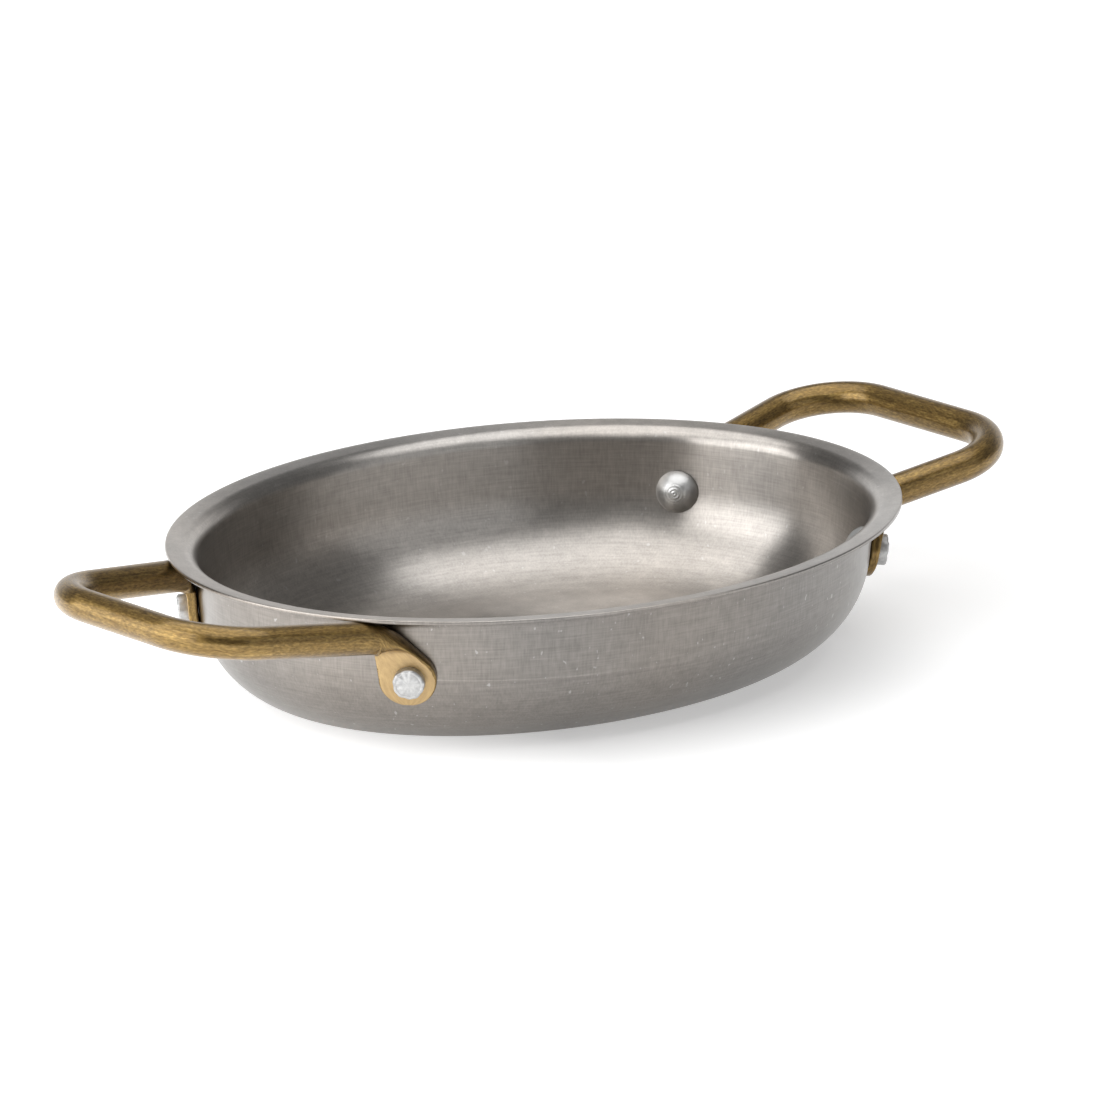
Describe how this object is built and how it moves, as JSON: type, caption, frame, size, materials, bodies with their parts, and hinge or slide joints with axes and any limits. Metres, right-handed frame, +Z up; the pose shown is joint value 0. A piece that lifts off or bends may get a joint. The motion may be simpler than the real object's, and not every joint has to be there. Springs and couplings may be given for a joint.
{
  "type": "oval dish",
  "caption": "Shallow oval steel dish with an out-turned lip and brass loop handles riveted to its ends, for baking and serving.",
  "frame": {"origin": "middle of the flat underside of the base, where the dish stands", "axes": "+X along the long axis, through both handles; +Y across the dish; +Z up, out of its mouth"},
  "size_m": [0.2262, 0.13, 0.0351],
  "materials": {
    "steel": "satin, finely brushed",
    "brass": "aged, mottled, semi-gloss",
    "aluminium": "turned head, hammered tail"
  },
  "bodies": {
    "root": {"dish": "steel", "left_handle": "brass", "right_handle": "brass", "front_left_rivet": "aluminium", "back_left_rivet": "aluminium", "front_right_rivet": "aluminium", "back_right_rivet": "aluminium"}
  },
  "joints": []
}
